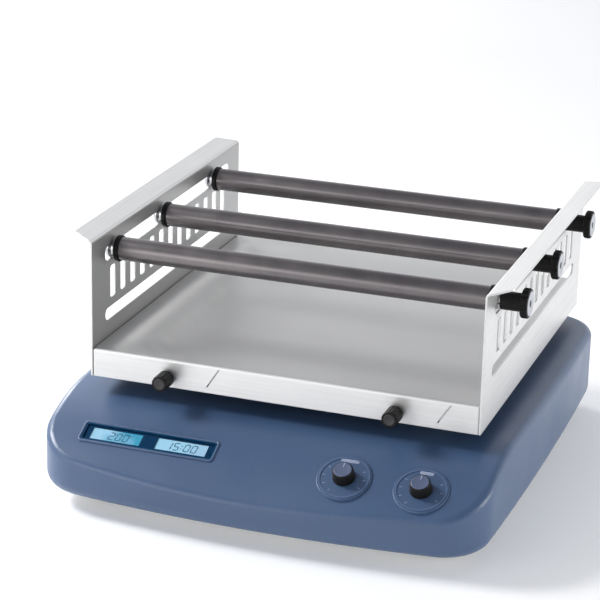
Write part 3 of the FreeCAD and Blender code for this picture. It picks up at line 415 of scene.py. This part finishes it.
def lathe(bm, profile, n=64):
    """Closed solid of revolution round +Z from (radius, height) points that start and end on the axis."""
    rings = []
    for r, z in profile:
        if r < 1e-9:
            rings.append([bm.verts.new((0, 0, z))])
        else:
            rings.append([bm.verts.new((r * math.cos(2 * math.pi * i / n), r * math.sin(2 * math.pi * i / n), z)) for i in range(n)])
    for a, b in zip(rings, rings[1:]):
        for i in range(n):
            j = (i + 1) % n
            if len(a) == 1:
                bm.faces.new((a[0], b[i], b[j]))
            elif len(b) == 1:
                bm.faces.new((a[i], b[0], a[j]))
            else:
                bm.faces.new((a[i], b[i], b[j], a[j]))


def slab(bm, outline, z0, z1):
    """Prism over a closed outline of (x, y) points."""
    lo = [bm.verts.new((x, y, z0)) for x, y in outline]
    hi = [bm.verts.new((x, y, z1)) for x, y in outline]
    bm.faces.new(lo[::-1])
    bm.faces.new(hi)
    for i in range(len(outline)):
        j = (i + 1) % len(outline)
        bm.faces.new((lo[i], lo[j], hi[j], hi[i]))


def round_rect(w, h, r, n=6, cx=0.0, cy=0.0):
    pts = []
    for sx, sy, a0 in ((1, 1, 0), (-1, 1, 90), (-1, -1, 180), (1, -1, 270)):
        for i in range(n + 1):
            a = math.radians(a0 + 90.0 * i / n)
            pts.append((cx + sx * (w / 2 - r) + r * math.cos(a), cy + sy * (h / 2 - r) + r * math.sin(a)))
    return pts


def bead(bm, path, r, flat=1.0, n=10, z=0.0):
    """Closed round bead along a closed flat path."""
    m = len(path)
    loops = []
    for i in range(m):
        p, a, b = Vector(path[i]), Vector(path[i - 1]), Vector(path[(i + 1) % m])
        t = (b - a).normalized()
        nrm = Vector((t.y, -t.x))
        loops.append([bm.verts.new((p.x + nrm.x * r * math.cos(2 * math.pi * k / n), p.y + nrm.y * r * math.cos(2 * math.pi * k / n),
                                    z + flat * r * math.sin(2 * math.pi * k / n))) for k in range(n)])
    for i in range(m):
        a, b = loops[i], loops[(i + 1) % m]
        for k in range(n):
            q = (k + 1) % n
            bm.faces.new((a[k], a[q], b[q], b[k]))


# raised bead round the display
bm = bmesh.new()
bead(bm, round_rect(0.1148, 0.0202, 0.0026, 8), 0.00115, 0.75, 14, 0.00015)
finish_piece("display_rim", bm, MATS["housing"], "base", on_panel(*DISPLAY_AT), angle=80)

# plain digits on the two displays
SEGMENTS = {"0": "abcdef", "1": "bc", "2": "abged", "5": "afgcd"}


def digits(bm, text, cx, height=0.0072, width=0.0040, pitch=0.0062, z0=-0.00160, z1=-0.00150):
    t = 0.00085
    lengths = [0.45 if c == ":" else 1.0 for c in text]
    x = cx - pitch * sum(lengths) / 2
    for c, k in zip(text, lengths):
        mid = x + pitch * k / 2
        if c == ":":
            for y in (-0.0015, 0.0015):
                slab(bm, [(mid + px + y * 0.12, y + py) for px, py in round_rect(0.0009, 0.0009, 0.0002, 3)], z0, z1)
        else:
            w, h = width / 2, height / 2
            lines = {"a": ((-w, h), (w, h)), "b": ((w, h), (w, 0)), "c": ((w, 0), (w, -h)), "d": ((-w, -h), (w, -h)),
                     "e": ((-w, 0), (-w, -h)), "f": ((-w, h), (-w, 0)), "g": ((-w, 0), (w, 0))}
            for seg in SEGMENTS[c]:
                (x0, y0), (x1, y1) = lines[seg]
                d = Vector((x1 - x0, y1 - y0)).normalized()
                nrm = Vector((-d.y, d.x))
                a, b = Vector((x0, y0)) + d * 0.00012, Vector((x1, y1)) - d * 0.00012
                pts = [a, a + (d + nrm) * t / 2, b + (nrm - d) * t / 2, b, b - (nrm + d) * t / 2, a + (d - nrm) * t / 2]
                slab(bm, [(mid + p.x + p.y * 0.12, p.y) for p in pts], z0, z1)
        x += pitch * k


for name, text, cx in (("lcd_digits_left", "200", WINDOW_X[0] + 0.002), ("lcd_digits_right", "15:00", WINDOW_X[1])):
    bm = bmesh.new()
    digits(bm, text, cx)
    finish_piece(name, bm, DIGIT_INK, "base", on_panel(*DISPLAY_AT), smooth=False)

# dial faces: an index bar at the top and fine ticks round it, printed on the raised pads
for name, x, deg in KNOBS_AT:
    bm = bmesh.new()
    slab(bm, round_rect(0.0150 if name == "speed_knob" else 0.0110, 0.0032, 0.0012, 5, 0.0, 0.0168), 0.00105, 0.00125)
    for i in range(1, 11):
        a = math.radians(90 - 150 + 30 * i) if i != 5 else None
        if a is None:
            continue
        c, s = math.cos(a), math.sin(a)
        if s > 0.8:
            continue
        r0, r1, hw = 0.0152, 0.0176, 0.00022
        slab(bm, [(c * r0 - s * hw, s * r0 + c * hw), (c * r0 + s * hw, s * r0 - c * hw), (c * r1 + s * hw, s * r1 - c * hw), (c * r1 - s * hw, s * r1 + c * hw)],
             0.00105, 0.00120)
    finish_piece(name.replace("knob", "dial_marks"), bm, MARK_PAINT, "base", on_panel(x, deg), smooth=False)
    # cap on the knob, dished in the middle, with a light pointer line
    bm = bmesh.new()
    lathe(bm, [(0.0, 0.0098), (0.0071, 0.0098), (0.0071, 0.01062), (0.0069, 0.01090), (0.0065, 0.01098), (0.0060, 0.01090), (0.0030, 0.01072), (0.0, 0.01068)], 72)
    finish_piece(name + "_cap", bm, KNOB_CAP, name, on_panel(x, deg), angle=50)
    bm = bmesh.new()
    slab(bm, round_rect(0.0009, 0.0040, 0.0004, 4, 0.0, 0.0044), 0.01055, 0.01112)
    finish_piece(name + "_pointer", bm, MARK_PAINT, name, on_panel(x, deg), smooth=False)

# light caps in the ends of the clamp bars' knobs, with a small recess in the middle
for bar in ("front", "middle", "rear"):
    node = bar + "_bar_knob"
    lo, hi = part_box(node)
    cy, cz = (lo[1] + hi[1]) / 2, (lo[2] + hi[2]) / 2
    bm = bmesh.new()
    lathe(bm, [(0.0, -0.0012), (0.0098, -0.0012), (0.0098, 0.00015), (0.0095, 0.00042), (0.0089, 0.00052), (0.0082, 0.00040), (0.0077, 0.00012),
               (0.0030, 0.00004), (0.0026, -0.00030), (0.0, -0.00034)], 72)
    place = Matrix.Rotation(math.radians(90), 4, "Y")
    place.translation = Vector((hi[0], cy, cz))
    finish_piece(node + "_cap", bm, CAP_GREY, node, place, angle=50)

# dished caps in the front faces of the two thumb screws
for side in ("left", "right"):
    node = "tray_screw_" + side
    lo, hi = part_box(node)
    cx, cz = (lo[0] + hi[0]) / 2, (lo[2] + hi[2]) / 2
    bm = bmesh.new()
    lathe(bm, [(0.0, -0.0008), (0.0046, -0.0008), (0.0046, 0.00012), (0.0044, 0.00030), (0.0040, 0.00032), (0.0036, 0.00016), (0.0, 0.00005)], 60)
    place = Matrix.Rotation(math.radians(90), 4, "X")
    place.translation = Vector((cx, lo[1], cz))
    finish_piece(node + "_cap", bm, SCREW_CAP, node, place, angle=50)

# ------------------------------------------------------------------ stage and light


def floor():
    me = bpy.data.meshes.new("floor")
    bm = bmesh.new()
    s = 6.0
    for x, y in ((-s, -s), (s, -s), (s, s), (-s, s)):
        bm.verts.new((x, y, 0.0))
    bm.verts.ensure_lookup_table()
    bm.faces.new(bm.verts)
    bm.to_mesh(me)
    bm.free()
    ob = bpy.data.objects.new("floor", me)
    scene.collection.objects.link(ob)
    k = Mat("floor_paper", (0.90, 0.90, 0.90), 0.75, spec=0.2)
    c = k.mix(k.ramp(k.noise(3.0, 2.0), 0.3, 0.7), (0.90, 0.90, 0.90), (0.92, 0.92, 0.92))
    k.color(c)
    k.link(c, k.b.inputs["Emission Color"])
    k.b.inputs["Emission Strength"].default_value = 0.23
    ob.data.materials.append(k.m)
    ob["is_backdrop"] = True


floor()


def area(name, loc, aim, size, power, spread=180.0, color=(1, 1, 1)):
    d = bpy.data.lights.new(name, "AREA")
    d.shape = "RECTANGLE"
    d.size, d.size_y = size
    d.energy = power
    d.color = color
    d.spread = math.radians(spread)
    o = bpy.data.objects.new(name, d)
    scene.collection.objects.link(o)
    o.matrix_world = (Vector(aim) - Vector(loc)).to_track_quat("-Z", "Y").to_matrix().to_4x4()
    o.matrix_world.translation = Vector(loc)
    return o


area("key_back_left", (-2.05, 1.75, 1.50), (0, -0.05, 0.1), (0.9, 0.8), 38.0)
area("key_left", (-1.15, -0.20, 1.05), (-0.05, -0.15, 0.08), (0.45, 0.35), 5.4, 100.0)
area("front_left_low", (-1.2, -1.9, 0.50), (0, 0, 0.12), (1.6, 0.9), 8.5)
area("right_low", (2.3, 0.30, 0.36), (0.1, 0, 0.14), (1.4, 0.6), 4.2, 70.0)

world = bpy.data.worlds.new("studio")
world.use_nodes = True
wt = world.node_tree
bg = wt.nodes["Background"]
tc = wt.nodes.new("ShaderNodeTexCoord")
sep = wt.nodes.new("ShaderNodeSeparateXYZ")
ramp = wt.nodes.new("ShaderNodeValToRGB")
wt.links.new(tc.outputs["Generated"], sep.inputs[0])
wt.links.new(sep.outputs["Z"], ramp.inputs[0])
wt.links.new(ramp.outputs[0], bg.inputs[0])
cr = ramp.color_ramp
cr.elements[0].position, cr.elements[0].color = 0.0, (1.0, 1.0, 1.0, 1)
cr.elements[1].position, cr.elements[1].color = 1.0, (0.22, 0.235, 0.265, 1)
for at, col in ((0.30, (0.97, 0.98, 1.0, 1)), (0.52, (0.56, 0.575, 0.61, 1)), (0.78, (0.28, 0.295, 0.33, 1))):
    e = cr.elements.new(at)
    e.color = col
# the room is dimmer towards the front right
dot = wt.nodes.new("ShaderNodeVectorMath")
dot.operation = "DOT_PRODUCT"
dot.inputs[1].default_value = (0.80, -0.60, 0.0)
wt.links.new(tc.outputs["Generated"], dot.inputs[0])
dim = wt.nodes.new("ShaderNodeMapRange")
dim.interpolation_type = "SMOOTHSTEP"
for key, v in (("From Min", 0.15), ("From Max", 0.95), ("To Min", 1.15), ("To Max", 0.32)):
    dim.inputs[key].default_value = v
wt.links.new(dot.outputs["Value"], dim.inputs["Value"])
wt.links.new(dim.outputs["Result"], bg.inputs[1])
scene.world = world
scene.view_settings.view_transform = "Standard"
scene.view_settings.look = "None"

lo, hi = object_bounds()
